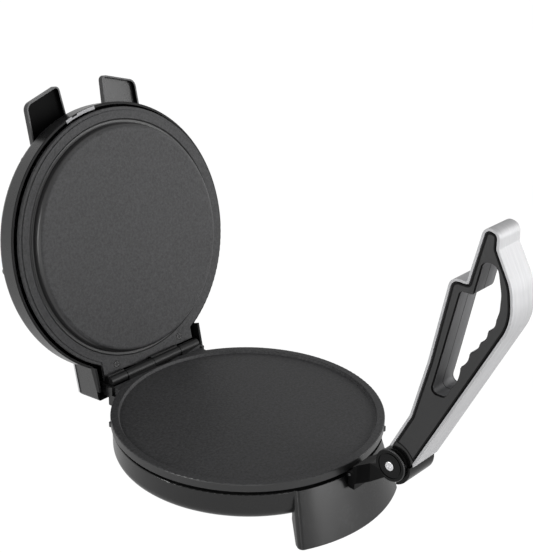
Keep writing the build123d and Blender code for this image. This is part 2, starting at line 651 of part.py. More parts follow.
def lamp(place):
    x, y = place
    lens = flat_slab(Pos(x, y) * RectangleRounded(*LAMP_SIZE, LAMP_ROUND), PANEL_TOP - 3, PANEL_TOP + 0.7)
    lens = fillet(lens.edges().group_by(Axis.Z)[-1], 0.5)
    flange = RectangleRounded(LAMP_SIZE[0] + 3, LAMP_SIZE[1] + 3, LAMP_ROUND)
    return lens + flat_slab(Pos(x, y) * flange, PANEL_TOP - 4, PANEL_TOP - 2.1)


def lamp_bulbs():
    return [post(2.6, x, y, PANEL_TOP - 14, PANEL_TOP - 4.2) for x, y in (READY_LAMP, POWER_LAMP)]


def panel_trims():
    strips = []
    for side in (-1, 1):
        x0, x1 = sorted((side * (BOX_HEAD_HALF - 0.2), side * (BOX_HEAD_HALF + 0.9)))
        strips.append(block(x0, x1, PANEL_ARC_Y + 2, BOX_BACK - 3.2, COVER_TOP + 0.05, PANEL_TOP - 0.9))
    return strips


def thermostat():
    base = UPPER_SHIELD_Z + 1
    body = post(11, KNOB_X, KNOB_Y, base + 6, PANEL_TOP - 2.3)
    body += block(KNOB_X - 13, KNOB_X + 13, KNOB_Y - 8, KNOB_Y + 8, base, base + 6)
    return body - post(SHAFT_R + PIN_CLEARANCE, KNOB_X, KNOB_Y, base + 4, FAR)


def knob_shaft():
    shaft = post(SHAFT_R, KNOB_X, KNOB_Y, UPPER_SHIELD_Z + 6, PANEL_TOP + 9)
    flat = block(KNOB_X + 2, KNOB_X + 5, KNOB_Y - 5, KNOB_Y + 5, PANEL_TOP + 1, PANEL_TOP + 12)
    return shaft - flat


def control_knob():
    z0 = PANEL_TOP + 0.35
    top = PANEL_TOP + KNOB_H
    body = Pos(KNOB_X, KNOB_Y) * turned(
        (0, z0 + 1.5),
        (KNOB_R - 3, z0 + 1.5),
        (KNOB_R - 3, z0),
        (KNOB_R + 1.2, z0, 0.6),
        (KNOB_R + 1.2, z0 + 2.6, 0.6),
        (KNOB_R, z0 + 3.4),
        (KNOB_R - 0.8, top, 1.6),
        (0, top),
    )
    for number in range(KNOB_GROOVES):
        x, y = around(KNOB_R + GROOVE_R / 2, (number * 360 / KNOB_GROOVES,))[0]
        body -= post(GROOVE_R, KNOB_X + x, KNOB_Y + y, z0 + 3.6, top + 1)
    body -= post(SHAFT_R + PIN_CLEARANCE, KNOB_X, KNOB_Y, z0 - 1, PANEL_TOP + 9.3)
    body -= post(1.3, KNOB_X, KNOB_Y + KNOB_R - 6, top - 0.6, top + 1)
    return body


def knob_dot():
    top = PANEL_TOP + KNOB_H
    return post(1.25, KNOB_X, KNOB_Y + KNOB_R - 6, top - 0.58, top - 0.05)


# ---- link and barrel bolt -----------------------------------------------------------------
def link_bracket():
    inner_y = LINK_PLATE_Y
    plate = block(-LINK_HALF, LINK_HALF, inner_y - LINK_PLATE_T, inner_y, LINK_Z - 13.5, LINK_Z + 10.5)
    foot = outline((inner_y - 1, LINK_Z - 13.4), (LINK_Y - 0.2, LINK_Z - 13.4), (LINK_Y + 1, LINK_Z - 10),
                   (LINK_Y + 1, LINK_Z - 3), (inner_y - 1, LINK_Z - 3))
    for side in (-1, 1):
        x0, x1 = sorted((side * (LINK_LUG_HALF + LINK_CLEARANCE), side * LINK_HALF))
        plate += block(x0, x1, inner_y - 1, LINK_Y, LINK_Z - LINK_KNUCKLE_R, LINK_Z + LINK_KNUCKLE_R)
        plate += rod(LINK_KNUCKLE_R, x0, x1, LINK_Y, LINK_Z)
        plate += side_slab(foot, x0, x1)
    arm = side_slab(outline(*shifted(ARM_SIDE, LINK_Y, LINK_Z)), -CAP_HALF, CAP_HALF)
    neck = LINK_Y - 8.8
    wide = LINK_Y - 29.8
    end = BARREL_Y - 24
    plan = outline((-LINK_HALF, LINK_Y), (-LINK_HALF, neck), (-CAP_HALF, wide), (-CAP_HALF, end), (CAP_HALF, end),
                   (CAP_HALF, wide), (LINK_HALF, neck), (LINK_HALF, LINK_Y))
    arm &= flat_slab(plan, 0, FAR)
    arm -= block(-FAR, FAR, inner_y - 0.2, 0, 0, FAR)
    link = plate + arm + rod(CAP_R, -CAP_HALF, CAP_HALF, BARREL_Y, BARREL_Z)
    rims = [edge for edge in link.edges() if edge.geom_type == GeomType.CIRCLE and abs(abs(edge.center().X) - CAP_HALF) < 0.01]
    link = fillet(rims, 1.0)
    inner = CAP_HALF - CAP_T
    link -= rod(CAP_R + LINK_CLEARANCE, -inner, inner, BARREL_Y, BARREL_Z)
    groove_in, groove_out, depth = CAP_GROOVE
    for side in (-1, 1):
        x0, x1 = sorted((side * (CAP_HALF - depth), side * (CAP_HALF + 1)))
        link -= rod(groove_out, x0, x1, BARREL_Y, BARREL_Z) - rod(groove_in, x0, x1, BARREL_Y, BARREL_Z)
    link -= rod(BOLT_R + PIN_CLEARANCE, -FAR, FAR, BARREL_Y, BARREL_Z)
    return link - rod(LINK_PIN_R + PIN_CLEARANCE, -FAR, FAR, LINK_Y, LINK_Z)


def barrel_bolt():
    face = -CAP_HALF - BOLT_HEAD_T
    bolt = rod(BOLT_R, -CAP_HALF + 0.3, CAP_HALF - 0.3, BARREL_Y, BARREL_Z)
    bolt += rod(BOLT_HEAD_R, face, -CAP_HALF - 0.05, BARREL_Y, BARREL_Z)
    bolt = fillet([edge for edge in bolt.edges() if abs(edge.center().X - face) < 0.01], 0.8)
    for half_y, half_z in ((2.6, 0.5), (0.5, 2.6)):
        bolt -= block(face - 1, face + 0.7, BARREL_Y - half_y, BARREL_Y + half_y, BARREL_Z - half_z, BARREL_Z + half_z)
    return bolt


def link_pin():
    return rod(LINK_PIN_R, -LINK_HALF + 0.5, LINK_HALF - 0.5, LINK_Y, LINK_Z)


def hinge_pin():
    end = KNUCKLE_ENDS[-1] - 1
    return rod(HINGE_PIN_R, -end, end, HINGE_Y, HINGE_Z)


# ---- handle -------------------------------------------------------------------------------
def handle_face():
    """Side outline of the handle along the middle of the groove between cheek and band."""
    return outline(*shifted(HANDLE_LINE, BARREL_Y, BARREL_Z))


def scallop(low, high):
    """Shallow finger hollow between two cusps."""
    (y0, z0), (y1, z1) = low, high
    length = math.hypot(y1 - y0, z1 - z0)
    deepest = ((y0 + y1) / 2 - (z1 - z0) / length * SCALLOP_DEPTH, (z0 + z1) / 2 + (y1 - y0) / length * SCALLOP_DEPTH)
    return make_face(ThreePointArc(low, deepest, high) + Line(high, low))


def grip_opening():
    """Outline of the finger opening with its scalloped outer side."""
    corners = (*CUSPS, *GRIP_UPPER, *GRIP_LOWER)
    face = outline(*shifted(corners, BARREL_Y, BARREL_Z))
    cusps = shifted(CUSPS, BARREL_Y, BARREL_Z)
    for low, high in zip(cusps[:-1], cusps[1:]):
        face += scallop(low, high)
    return face


def tapered(half):
    """Upright wedge that thins every layer of the handle towards its nose."""
    z0 = BARREL_Z + TAPER_FROM
    z1 = BARREL_Z + TAPER_TO
    thin = half - TAPER
    face = outline((-half, -FAR), (half, -FAR), (half, z0), (thin, z1), (thin, FAR), (-thin, FAR), (-thin, z1), (-half, z0))
    return extrude(Plane.XZ.offset(-FAR) * face, 2 * FAR)


def handle_core(side):
    """One half of the black handle core with the barrel that turns on the bolt."""
    x0, x1 = sorted((side * HALF_GAP / 2, side * FAR))
    body = side_slab(offset(handle_face(), CHEEK_GROOVE - GAP / 2), x0, x1) & tapered(CORE_HALF)
    body -= side_slab(grip_opening(), -FAR, FAR)
    root = side_slab(handle_face(), x0, x1) & tapered(CORE_HALF + CHEEK_T / 2)
    body += root & rod(ROOT_R - GAP, -FAR, FAR, BARREL_Y, BARREL_Z)
    x0, x1 = sorted((side * HALF_GAP / 2, side * BARREL_HALF))
    body += rod(BARREL_R, x0, x1, BARREL_Y, BARREL_Z)
    return body - rod(BOLT_R + PIN_CLEARANCE, -FAR, FAR, BARREL_Y, BARREL_Z)


def handle_cheek(side):
    face = offset(handle_face(), -CHEEK_GROOVE) - offset(grip_opening(), 0.7)
    cheek = side_slab(face, *sorted((0, side * FAR))) & tapered(CORE_HALF + CHEEK_T)
    return cheek - tapered(CORE_HALF + 0.02) - rod(ROOT_R, -FAR, FAR, BARREL_Y, BARREL_Z)


def handle_band():
    face = offset(handle_face(), CHEEK_GROOVE + BAND_T) - offset(handle_face(), CHEEK_GROOVE)
    band = side_slab(face, -BAND_HALF, BAND_HALF) & tapered(BAND_HALF)
    inner, outer = BAND_END_R
    band -= rod(inner, -FAR, FAR, BARREL_Y, BARREL_Z)
    band -= rod(outer, -FAR, FAR, BARREL_Y, BARREL_Z) & block(-FAR, FAR, -FAR, BARREL_Y - 5, 0, FAR)
    return band - block(-FAR, FAR, -FAR, 0, -FAR, BARREL_Z)


def handle_lip():
    """Curved lip that laps the barrel under the band's outer end."""
    ring = rod(LIP_R, -BARREL_HALF, BARREL_HALF, BARREL_Y, BARREL_Z)
    ring -= rod(BARREL_R + 0.1, -FAR, FAR, BARREL_Y, BARREL_Z)
    wedge = side_slab(outline((BARREL_Y, BARREL_Z), (BARREL_Y - 40, BARREL_Z + 7.5), (BARREL_Y - 40, BARREL_Z - 40),
                              (BARREL_Y - 12, BARREL_Z - 40)), -FAR, FAR)
    body = side_slab(offset(handle_face(), CHEEK_GROOVE + GAP), -CORE_HALF - CHEEK_T, CORE_HALF + CHEEK_T)
    return (ring & wedge) - body


# ---- write every node ---------------------------------------------------------------------
os.makedirs("parts", exist_ok=True)
write("lower_housing", lower_housing())
write("lower_plate", lower_plate())
write("lower_element", element(PLATE_BOTTOM - ELEMENT_R - GAP, False))
write("lower_reflector", lower_reflector())
write("lower_terminals", terminal_block())
write("housing_screws", *housing_screws())
write("rear_foot", rear_foot())
write("foot_screws", *foot_screws())
write("rear_pads", *rear_pads())
write("front_pads", *front_pads())
write("hinge_pin", hinge_pin())
write("link_pin", link_pin())
write("upper_plate", opened(upper_plate()))
write("upper_element", opened(element(PRESS_FACE + PRESS_T + ELEMENT_R + GAP, True)))
write("upper_reflector", opened(reflector(UPPER_SHIELD_Z, 104, 6)))
write("lid_shell", opened(lid_shell()))
write("steel_cover", opened(steel_cover()))
write("control_panel", opened(control_panel()))
write("panel_trims", *[opened(strip) for strip in panel_trims()])
write("ready_lamp", opened(lamp(READY_LAMP)))
write("power_lamp", opened(lamp(POWER_LAMP)))
write("lamp_bulbs", *[opened(bulb) for bulb in lamp_bulbs()])
write("thermostat", opened(thermostat()))
write("tongue_screws", *[opened(one) for one in tongue_screws()])
write("cord_gland", cord_gland())
write("control_knob", opened(control_knob()))
write("knob_shaft", opened(knob_shaft()))
write("knob_dot", opened(knob_dot()))
write("link_bracket", link_bracket())
write("barrel_bolt", barrel_bolt())
write("handle_core_left", handle_core(-1))
write("handle_core_right", handle_core(1))
write("handle_cheek_left", handle_cheek(-1))
write("handle_cheek_right", handle_cheek(1))
write("handle_band", handle_band())
write("handle_lip", handle_lip())
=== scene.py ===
import json
import math

import bmesh
import bpy
from mathutils import Matrix, Vector


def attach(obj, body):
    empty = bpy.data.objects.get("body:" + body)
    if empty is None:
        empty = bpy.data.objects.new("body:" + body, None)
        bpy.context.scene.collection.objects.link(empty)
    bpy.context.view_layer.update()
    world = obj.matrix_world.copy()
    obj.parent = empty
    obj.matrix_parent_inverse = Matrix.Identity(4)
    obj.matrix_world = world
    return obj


# Electric roti maker, standing open. Metres, with the table at Z zero.

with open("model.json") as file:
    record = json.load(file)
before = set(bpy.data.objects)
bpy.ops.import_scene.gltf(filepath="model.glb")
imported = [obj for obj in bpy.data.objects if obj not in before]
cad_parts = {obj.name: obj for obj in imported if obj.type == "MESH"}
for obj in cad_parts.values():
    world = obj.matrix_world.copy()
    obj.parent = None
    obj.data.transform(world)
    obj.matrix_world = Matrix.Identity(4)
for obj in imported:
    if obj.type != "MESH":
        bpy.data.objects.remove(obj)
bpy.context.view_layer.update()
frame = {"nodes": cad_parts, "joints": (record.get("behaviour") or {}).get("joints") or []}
joints = {joint["name"]: joint for joint in frame["joints"]}

# ---- sizes and places ---------------------------------------------------------------------
PLATE_Y = 0.0238          # the round plates' axis stands this far behind the origin
PLATE_WALL_R = 0.1355     # the lower plate's side wall lies outside this radius
PLATE_WALL_TOP = 0.0645   # and below this height
PLATE_WALL_STOP = 0.0200  # and further than this in front of the hinge pin

_, HINGE_Y, HINGE_Z = joints["lid_hinge"]["pos_m"]
OPEN_ANGLE = math.radians(joints["lid_hinge"]["range_deg"][1])
KNUCKLE_REACH = 0.0068    # what lies nearer to the pin's axis belongs to the hinge knuckles

PRESS_WALL_R = 0.1160     # the wall of the upper plate's raised face and the groove round it
PRESS_GROOVE_R = 0.1236   # lie between these radii

SHELL_R = 0.1408
SHELL_LIP_Z = 0.0797      # the lid shell's lower lip, with the lid shut
LIP_WIDTH = 0.0040        # the lip's face reaches this far in from the shell's wall
LIP_HEIGHT = 0.0009       # and its edges this far up

EAR_START = SHELL_R - 0.022       # on the shut lid the ears lie between these distances
EAR_END = SHELL_R + 0.027         # in front of the plates' axis
EAR_INNER_X = 0.0220              # and between these, left and right
EAR_OUTER_X = 0.0745
EAR_MIDDLE = (0.0500, SHELL_R + 0.0050)
EAR_RIM_Z = 0.1050
EAR_SLACK = 0.0010        # how far from the rim's level a face still belongs to the rim

PANEL_TOP = 0.1160
KNOB_PLACE = (0.0015, 0.0840)     # the knob's axis on the shut lid, from the plates' axis

_, BARREL_Y, BARREL_Z = joints["handle_fold"]["pos_m"]
ARM_START_R = 0.0165      # the link's arm lies outside this distance from the barrel's axis
ROOT_START_R = 0.0155     # the root of the handle's core lies between these distances from it
ROOT_END_R = 0.0236
ROOT_DROP = 0.0020        # and reaches this far below it
GRIP_START = 0.0750       # the finger opening's walls start this far above it
GRIP_HALF = 0.0165        # and stay within this distance of the handle's middle


def to_shut_lid(point):
    """A point of the open lid, taken to where it is with the lid shut, from the plates' axis."""
    y, z = point.y - HINGE_Y, point.z - HINGE_Z
    cos, sin = math.cos(OPEN_ANGLE), math.sin(OPEN_ANGLE)
    return Vector((point.x, y * cos - z * sin + HINGE_Y - PLATE_Y, y * sin + z * cos + HINGE_Z))


def to_open_lid(x, y, z):
    """A point drawn on the shut lid, from the plates' axis, taken to where it is with the lid open."""
    y -= HINGE_Y - PLATE_Y
    z -= HINGE_Z
    cos, sin = math.cos(OPEN_ANGLE), math.sin(OPEN_ANGLE)
    return Vector((x, HINGE_Y + y * cos + z * sin, HINGE_Z - y * sin + z * cos))


def from_hinge(point):
    return math.hypot(point.y - HINGE_Y, point.z - HINGE_Z)


def from_barrel(point):
    return math.hypot(point.y - BARREL_Y, point.z - BARREL_Z)


# ---- shader arithmetic --------------------------------------------------------------------
class Wire:
    """An output of a node that can stand in an arithmetic expression."""

    def __init__(self, nodes, socket):
        self.nodes = nodes
        self.socket = socket

    def maths(self, operation, first, second):
        return self.nodes.node("ShaderNodeMath", {"operation": operation}, {0: first, 1: second})

    def __add__(self, other):
        return self.maths("ADD", self, other)

    def __radd__(self, other):
        return self.maths("ADD", other, self)

    def __sub__(self, other):
        return self.maths("SUBTRACT", self, other)

    def __rsub__(self, other):
        return self.maths("SUBTRACT", other, self)

    def __mul__(self, other):
        return self.maths("MULTIPLY", self, other)

    def __rmul__(self, other):
        return self.maths("MULTIPLY", other, self)

    def __gt__(self, other):
        return self.maths("GREATER_THAN", self, other)

    def __lt__(self, other):
        return self.maths("LESS_THAN", self, other)


class Nodes:
    """The emptied node tree of a material or a world, ready to be filled."""

    def __init__(self, owner):
        owner.use_nodes = True
        self.tree = owner.node_tree
        self.tree.nodes.clear()

    def node(self, kind, settings=None, sockets=None, output=0):
        """Adds a node, with a value or a wire for each socket named, and gives its output as a wire."""
        made = self.tree.nodes.new(kind)
        for key, setting in (settings or {}).items():
            setattr(made, key, setting)
        for key, value in (sockets or {}).items():
            if isinstance(value, Wire):
                self.tree.links.new(value.socket, made.inputs[key])
            else:
                made.inputs[key].default_value = value
        if len(made.outputs):
            return Wire(self, made.outputs[output])


class Finish(Nodes):
    """A material being put together around one Principled shader."""

    def __init__(self, name):
        self.material = bpy.data.materials.new(name)
        super().__init__(self.material)

    def place(self, stretch=(1, 1, 1)):
        """Position on the piece, stretched along its axes."""
        spot = self.node("ShaderNodeTexCoord", output="Object")
        return self.node("ShaderNodeMapping", {}, {"Vector": spot, "Scale": stretch})

    def grain(self, size, detail=3, rough=0.55, stretch=(1, 1, 1)):
        """Noise from 0 to 1 whose grains are about size metres across."""
        sockets = {"Vector": self.place(stretch), "Scale": 1 / size, "Detail": detail, "Roughness": rough}
        return self.node("ShaderNodeTexNoise", {}, sockets)

    def relief(self, height, depth, below=None):
        """Bumps of the given depth in metres, over the bumps below if there are any."""
        sockets = {"Height": height, "Strength": 1.0, "Distance": depth}
        if below is not None:
            sockets["Normal"] = below
        return self.node("ShaderNodeBump", {}, sockets)

    def mix(self, share, first, second):
        """Colour that goes from the first to the second as the share goes from 0 to 1."""
        sockets = {"Factor": share, 6: first, 7: second}
        return self.node("ShaderNodeMix", {"data_type": "RGBA"}, sockets, output=2)

    def tint(self, low, high, share):
        """Colour between low and high, each of red, green and blue."""
        return self.mix(share, (*low, 1), (*high, 1))

    def dark_where(self, share, colour):
        """The colour, turned almost black where the share is 1."""
        return self.mix(share, colour, (0.004, 0.004, 0.004, 1))

    def edge_highlight(self):
        """Near 1 on sharp outer edges and 0 elsewhere, for a painted highlight along them."""
        point = self.node("ShaderNodeNewGeometry", output="Pointiness")
        return self.node("ShaderNodeMapRange", {}, {0: point, 1: 0.52, 2: 0.62, 3: 0.0, 4: 1.0})

    def done(self, sockets):
        """Closes the finish with its shader and gives the material."""
        shader = self.node("ShaderNodeBsdfPrincipled", {}, sockets)
        self.node("ShaderNodeOutputMaterial", {}, {"Surface": shader})
        return self.material


# ---- kinds of finish ----------------------------------------------------------------------
POLISHED = 0.000006       # depth of the skin on a polished surface
SATIN = 0.00003           # and on a satin one


def grey(level):
    """A grey with a slight lean to blue."""
    return (level, level, level * 1.03)


def moulded(name, level, gloss, texture=0.00012, depth=SATIN, shine=0.5):
    """Moulded plastic with a fine skin, faint cloudiness and slightly paler edges, which are a painted
    highlight.
    """
    finish = Finish(name)
    skin = finish.grain(texture)
    cloud = finish.grain(0.03)
    # the paler sharp edges are a painted highlight, not wear
    edge_highlight_share = finish.edge_highlight() * 0.35
    return finish.done(
        {
            "Base Color": finish.tint(
                grey(level * 0.85),
                grey(level * 1.6 + 0.004),
                cloud * 0.5 + edge_highlight_share,
            ),
            "Roughness": gloss + (cloud - 0.5) * 0.12 + (skin - 0.5) * 0.06,
            "Normal": finish.relief(skin, depth),
            "Specular IOR Level": shine,
        }
    )


def split_grip(name, level, gloss):
    """Satin plastic of the finger opening, with the thin joint line of the handle's two halves."""
    joint_half_width = 0.00045
    finish = Finish(name)
    skin = finish.grain(0.0004)
    streak = finish.grain(0.002, 4, stretch=(1, 0.1, 0.1))
    across = finish.node("ShaderNodeSeparateXYZ", {}, {"Vector": finish.place()}, output="X")
    joint = across * across < joint_half_width**2
    colour = finish.tint(grey(level * 0.8), grey(level * 1.3), streak)
    return finish.done(
        {
            "Base Color": finish.dark_where(joint, colour),
            "Roughness": gloss + (skin - 0.5) * 0.1,
            "Normal": finish.relief(skin, SATIN),
            "Specular IOR Level": 0.4,
        }
    )


def coated(name, level, gloss):
    """Dark non-stick coating: fine pebbly skin, paler flecks and soft cloudy patches."""
    finish = Finish(name)
    pebble = finish.grain(0.0026, 3, 0.7)
    skin = finish.grain(0.0006, 2, 0.5)
    fleck = finish.grain(0.0012, 2, 0.5) > 0.62
    cloud = finish.grain(0.06, 4, 0.5)
    share = cloud * 0.35 + (pebble - 0.5) * 2.6 + fleck * 0.3 + 0.3
    return finish.done(
        {
            "Base Color": finish.tint(grey(level * 0.6), grey(level * 1.5), share),
            "Roughness": gloss + (cloud - 0.5) * 0.12 + (pebble - 0.5) * 0.25,
            "Normal": finish.relief(pebble, 0.00012, finish.relief(skin, 0.00005)),
            "Specular IOR Level": 0.22,
        }
    )


def brushed(name, level, gloss, stretch, warm=1.0, depth=0.000012, metal=1.0):
    """Bare metal with fine straight brush lines."""
    finish = Finish(name)
    fine = finish.grain(0.0009, 3, 0.6, stretch)
    lines = finish.grain(0.0032, 5, 0.65, stretch) * 0.6 + fine * 0.4
    cloud = finish.grain(0.06)
    return finish.done(
        {
            "Base Color": finish.tint(
                (level * 0.7, level * 0.7, level * 0.72 / warm),
                (level * 1.14, level * 1.14, level * 1.15 / warm),
                lines * 1.3 + cloud * 0.3 - 0.3,
            ),
            "Metallic": metal,
            "Roughness": gloss + (lines - 0.5) * 0.18 + (cloud - 0.5) * 0.06,
            "Normal": finish.relief(lines, depth),
        }
    )


def lens(name, colour):
    """Tinted clear plastic with fine ribs inside."""
    finish = Finish(name)
    ribs = finish.grain(0.0022, 2)
    dark = tuple(part * 0.45 for part in colour)
    return finish.done(
        {
            "Base Color": finish.tint(dark, colour, ribs),
            "Roughness": 0.16 + ribs * 0.08,
            "Coat Weight": 0.6,
            "Normal": finish.relief(ribs, SATIN),
        }
    )


# ---- finishes -----------------------------------------------------------------------------
ACROSS_LID = (1, 0.02, 0.02)      # brush lines run along the axes that are scaled down
ALONG_HANDLE = (1, 0.05, 0.05)
ALONG_Y = (1, 0.05, 1)
ALONG_SHIELD = (1, 0.1, 1)
EVEN = (1, 1, 1)

deep_black = moulded("deep_black", 0.002, 0.45, depth=POLISHED, shine=0.12)
shell_black = moulded("shell_black", 0.012, 0.27, depth=POLISHED, shine=0.7)
# near-black, barely reflecting plastic for the ear pockets: painted shade
pocket_painted_shade = moulded("pocket_painted_shade", 0.002, 0.5, depth=POLISHED, shine=0.04)
# the ear rims, paler than the shell plastic: painted highlight
ear_rim_highlight = moulded("ear_rim_highlight", 0.05, 0.4)
base_black = moulded("base_black", 0.007, 0.26, depth=POLISHED)
soft_black = moulded("soft_black", 0.014, 0.42, shine=0.32)
# pale grey for a painted reflection on the lid's lip
lip_reflection_grey = moulded("lip_reflection_grey", 0.3, 0.45)
root_black = moulded("root_black", 0.003, 0.16, depth=0.000005)
# the finger opening's walls: the core's black plastic painted far paler, as painted light where they are
# lit
grip_painted_light = split_grip("grip_painted_light", 0.17, 0.5)
cheek_black = moulded("cheek_black", 0.013, 0.42)
barrel_black = moulded("barrel_black", 0.003, 0.24, depth=POLISHED, shine=0.16)
screw_black = moulded("screw_black", 0.02, 0.35, shine=0.6)
# paler, shinier copy of the barrel plastic for its rounded edges: painted highlight
barrel_edge_highlight = moulded("barrel_edge_highlight", 0.02, 0.3, depth=POLISHED, shine=0.7)
hinge_black = moulded("hinge_black", 0.006, 0.36, 0.0006, 0.00002, shine=0.3)
# near-black copy of the coating for walls that lie in shade: painted shade
side_painted_shade = moulded("side_painted_shade", 0.014, 0.38, 0.0008, SATIN, shine=0.65)
# the lid's lip in the gap above the plate, darkened and dulled: painted shade
lip_painted_shade = moulded("lip_painted_shade", 0.006, 0.45, depth=POLISHED, shine=0.15)
panel_black = moulded("panel_black", 0.03, 0.42, 0.0002, 0.00004)
knob_black = moulded("knob_black", 0.012, 0.38)
rubber_black = moulded("rubber_black", 0.015, 0.75, 0.0003, 0.00006)
nonstick = coated("nonstick", 0.05, 0.5)
cover_steel = brushed("cover_steel", 0.6, 0.26, ACROSS_LID, depth=SATIN)
band_silver = brushed("band_silver", 0.57, 0.58, ALONG_HANDLE, metal=0.5)
trim_bright = brushed("trim_bright", 0.8, 0.14, ALONG_Y)
screw_steel = brushed("screw_steel", 0.85, 0.25, EVEN)
dark_steel = brushed("dark_steel", 0.2, 0.3, EVEN)
shield_metal = brushed("shield_metal", 0.55, 0.32, ALONG_SHIELD)
heater_metal = brushed("heater_metal", 0.3, 0.45, EVEN, warm=1.2)
ceramic = moulded("ceramic", 0.5, 0.6)
thermostat_brown = moulded("thermostat_brown", 0.2, 0.5)
green_lens = lens("green_lens", (0.0, 0.36, 0.17))
red_lens = lens("red_lens", (0.55, 0.02, 0.015))
bulb_glass = lens("bulb_glass", (0.8, 0.8, 0.72))
mark_white = moulded("mark_white", 0.8, 0.5)

NODE_FINISH = {
    "lower_housing": base_black,
    "rear_foot": soft_black,
    "lid_shell": shell_black,
    "lower_plate": nonstick,
    "upper_plate": nonstick,
    "lower_element": heater_metal,
    "upper_element": heater_metal,
    "lower_reflector": shield_metal,
    "upper_reflector": shield_metal,
    "lower_terminals": ceramic,
    "thermostat": thermostat_brown,
    "housing_screws": screw_steel,
    "foot_screws": screw_steel,
    "tongue_screws": screw_black,
    "hinge_pin": dark_steel,
    "link_pin": screw_steel,
    "barrel_bolt": screw_steel,
    "knob_shaft": screw_steel,
    "rear_pads": rubber_black,
    "front_pads": rubber_black,
    "cord_gland": rubber_black,
    "steel_cover": cover_steel,
    "control_panel": panel_black,
    "panel_trims": trim_bright,
    "ready_lamp": green_lens,
    "power_lamp": red_lens,
    "lamp_bulbs": bulb_glass,
    "control_knob": knob_black,
    "knob_dot": mark_white,
    "link_bracket": barrel_black,
    "handle_core_left": soft_black,
    "handle_core_right": soft_black,
    "handle_cheek_left": cheek_black,
    "handle_cheek_right": cheek_black,
    "handle_band": band_silver,
    "handle_lip": barrel_black,
}
for name, node in frame["nodes"].items():
    node.data.materials.clear()
    node.data.materials.append(NODE_FINISH[name])


# ---- faces with a second finish -----------------------------------------------------------
# A normal's share of one axis says how a face stands: 1 or -1 looks along the axis, 0 square to it.
SQUARE_TO = 0.3
FACES_DOWN = -0.9         # the lid's faces are judged with the lid shut
FLAT_CHEEK = 0.97
FLAT_END = 0.95
ROUND_SIDE = 0.15


def second_finish(name, finish, chosen):
    """Gives another finish to the faces of a CAD node whose middle and normal are chosen."""
    mesh = frame["nodes"][name].data
    mesh.materials.append(finish)
    last = len(mesh.materials) - 1
    for face in mesh.polygons:
        if chosen(face.center, face.normal):
            face.material_index = last


def turned_shut(point, normal):
    """The direction that a normal of the open lid has with the lid shut."""
    return to_shut_lid(point + normal) - to_shut_lid(point)


def on_hinge(point, normal):
    return from_hinge(point) < KNUCKLE_REACH


def on_plate_side(point, normal):
    radius = math.hypot(point.x, point.y - PLATE_Y)
    return radius > PLATE_WALL_R and point.y < HINGE_Y - PLATE_WALL_STOP and point.z < PLATE_WALL_TOP


def on_press_wall(point, normal):
    """The upright wall of the raised upper plate and the groove round it."""
    flat = to_shut_lid(point)
    return PRESS_WALL_R < math.hypot(flat.x, flat.y) < PRESS_GROOVE_R


def on_lid_lip(point, normal):
    flat = to_shut_lid(point)
    return flat.z < SHELL_LIP_Z + LIP_HEIGHT and math.hypot(point.x, flat.y) > SHELL_R - LIP_WIDTH


def ear_place(point):
    """Where a point of the lid lies from the middle of its ear, with the lid shut, or None off the ears."""
    flat = to_shut_lid(point)
    if not (EAR_INNER_X < abs(flat.x) < EAR_OUTER_X and -EAR_END < flat.y < -EAR_START):
        return None
    middle_x, middle_y = EAR_MIDDLE
    return Vector((flat.x - math.copysign(middle_x, flat.x), flat.y + middle_y, flat.z - EAR_RIM_Z))


def in_pocket(point, normal):
    """The inner walls of both hollow ears with the shell wall below them, and the left ear's floor: the
    faces given painted shade.
    """
    place = ear_place(point)
    if place is None:
        return False
    turned = turned_shut(point, normal)
    floor = turned.z < FACES_DOWN and place.z > EAR_SLACK and point.x < 0
    faces_in = turned.x * place.x + turned.y * place.y < 0
    wall = abs(turned.z) < SQUARE_TO and faces_in and place.z > -EAR_SLACK
    return floor or wall


def on_ear_rim(point, normal):
    place = ear_place(point)
    return place is not None and turned_shut(point, normal).z < FACES_DOWN and abs(place.z) < EAR_SLACK


def on_round(point, normal):
    """The rounded edges between the flat ends and the round sides of the handle's joint."""
    return ROUND_SIDE < abs(normal.x) < FLAT_END


def on_arm(point, normal):
    return from_barrel(point) > ARM_START_R


def in_grip(point, normal):
    """The walls inside the finger opening, which face neither left nor right."""
    high_up = point.z - BARREL_Z > GRIP_START
    return abs(normal.x) < SQUARE_TO and high_up and abs(point.x) < GRIP_HALF


def on_root(point, normal):
    """The core's root, between the barrel and the cheeks."""
    return ROOT_START_R < from_barrel(point) < ROOT_END_R and point.z > BARREL_Z - ROOT_DROP


def on_cheek_edge(point, normal):
    return abs(normal.x) < FLAT_CHEEK


second_finish("upper_plate", hinge_black, on_hinge)
# painted shade on the wall of the raised upper plate and the groove round it
second_finish("upper_plate", side_painted_shade, on_press_wall)
second_finish("lower_plate", hinge_black, on_hinge)
# painted shade on the lower plate's side wall
second_finish("lower_plate", side_painted_shade, on_plate_side)
# painted shade on the lid's lip
second_finish("lid_shell", lip_painted_shade, on_lid_lip)
# painted shade inside the ear pockets
second_finish("lid_shell", pocket_painted_shade, in_pocket)
# painted highlight on the ears' rims
second_finish("lid_shell", ear_rim_highlight, on_ear_rim)
# painted highlight on the link's rounded edges
second_finish("link_bracket", barrel_edge_highlight, on_round)
second_finish("link_bracket", deep_black, on_arm)
for half in ("left", "right"):
    # painted light on the finger opening's walls
    second_finish("handle_core_" + half, grip_painted_light, in_grip)
    second_finish("handle_core_" + half, root_black, on_root)
    # painted shade: the cheek's edge faces in the groove by the band turned near black
    second_finish("handle_cheek_" + half, deep_black, on_cheek_edge)


# ---- detail pieces ------------------------------------------------------------------------
ARC_STEP = 3              # degrees between the sections of an arc

